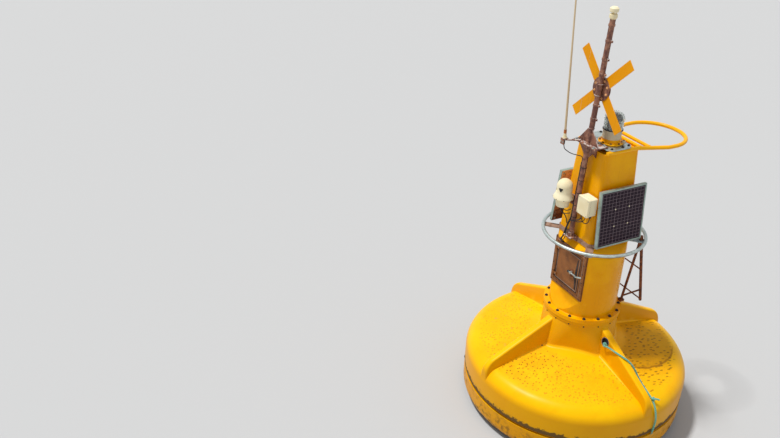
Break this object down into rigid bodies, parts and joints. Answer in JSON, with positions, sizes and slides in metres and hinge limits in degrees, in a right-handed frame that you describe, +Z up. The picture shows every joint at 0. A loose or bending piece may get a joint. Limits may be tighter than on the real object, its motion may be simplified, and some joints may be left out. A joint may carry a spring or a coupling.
{
  "type": "smart buoy",
  "caption": "Moulded disc data buoy with ribbed deck, hollow tower with hinged hatch, solar panels, guard ring, mast with cross topmark, lantern and lifting loop.",
  "frame": {"origin": "centre of the flat bottom of the float", "axes": "+Z up along the tower, -Y out of the hatch face, +X out of the right-hand solar panel"},
  "size_m": [2.3239, 2.2998, 5.4085],
  "materials": {
    "hull_yellow": "moulded plastic, sun faded, stained by non-slip speckle",
    "hull_fouled": "moulded plastic with dried growth",
    "tower_yellow": "glossy gelcoat",
    "loop_yellow": "gloss paint",
    "keel_steel": "black bitumen paint",
    "hatch_bronze": "weathered brown metal",
    "pin_steel": "stainless",
    "galvanised": "galvanised",
    "band_steel": "weathered zinc",
    "panel_alu": "anodised, weathered",
    "panel_glass": "dark cells under glass",
    "panel_steel": "rusted",
    "lantern_cream": "moulded",
    "lantern_clear": "clear lens",
    "seal_black": "matt",
    "core_grey": "grey",
    "mast_rust": "rusted steel",
    "topmark_yellow": "gloss paint",
    "cream_plastic": "moulded, sun aged",
    "black_plastic": "dark window",
    "whip_cream": "glass fibre",
    "ferrule_brown": "brass, dulled",
    "cable_black": "cable sheath",
    "rope_green": "laid polypropylene rope"
  },
  "bodies": {
    "buoy": {"antenna_arm": "mast_rust", "antenna_base": "cream_plastic", "antenna_ferrule": "ferrule_brown", "antenna_whip": "whip_cream", "box_body": "cream_plastic", "box_bracket": "mast_rust", "box_glands": "black_plastic", "box_lid": "cream_plastic", "cable_antenna": "cable_black", "cable_box": "cable_black", "cable_bundle": "cable_black", "cable_camera": "cable_black", "cable_gland": "black_plastic", "camera_base": "cream_plastic", "camera_bracket": "mast_rust", "camera_dome": "cream_plastic", "camera_window": "black_plastic", "hatch_frame": "hatch_bronze", "hinge_pins": "pin_steel", "hull_lower": "hull_fouled", "hull_upper": "hull_yellow", "keel_plate": "keel_steel", "lantern_base": "lantern_cream", "lantern_core": "core_grey", "lantern_flange": "loop_yellow", "lantern_knob": "lantern_cream", "lantern_lens": "lantern_clear", "lantern_plate": "galvanised", "lantern_seal": "seal_black", "loop_frame": "loop_yellow", "mast_bracket": "mast_rust", "mast_clamps": "mast_rust", "mast_foot": "mast_rust", "mast_lower": "mast_rust", "mast_upper": "mast_rust", "panel_frame_left": "panel_alu", "panel_frame_right": "panel_alu", "panel_glass_left": "panel_glass", "panel_glass_right": "panel_glass", "panel_rails_left": "panel_steel", "panel_rails_right": "panel_steel", "rear_frame": "panel_steel", "ring_band": "band_steel", "ring_guard": "galvanised", "rope": "rope_green", "rope_knot": "rope_green", "sensor_weather": "cream_plastic", "top_cap": "tower_yellow", "topmark_arms": "topmark_yellow", "topmark_hubs": "mast_rust", "tower_body": "tower_yellow"},
    "hatch": {"door_handle": "galvanised", "hatch_door": "hatch_bronze"}
  },
  "joints": [
    {"name": "hatch_hinge", "type": "hinge", "parent": "buoy", "child": "hatch", "pos_m": [-0.19425, -0.2695, 1.645], "axis": [0, 0, -1], "range_deg": [0, 110]}
  ]
}
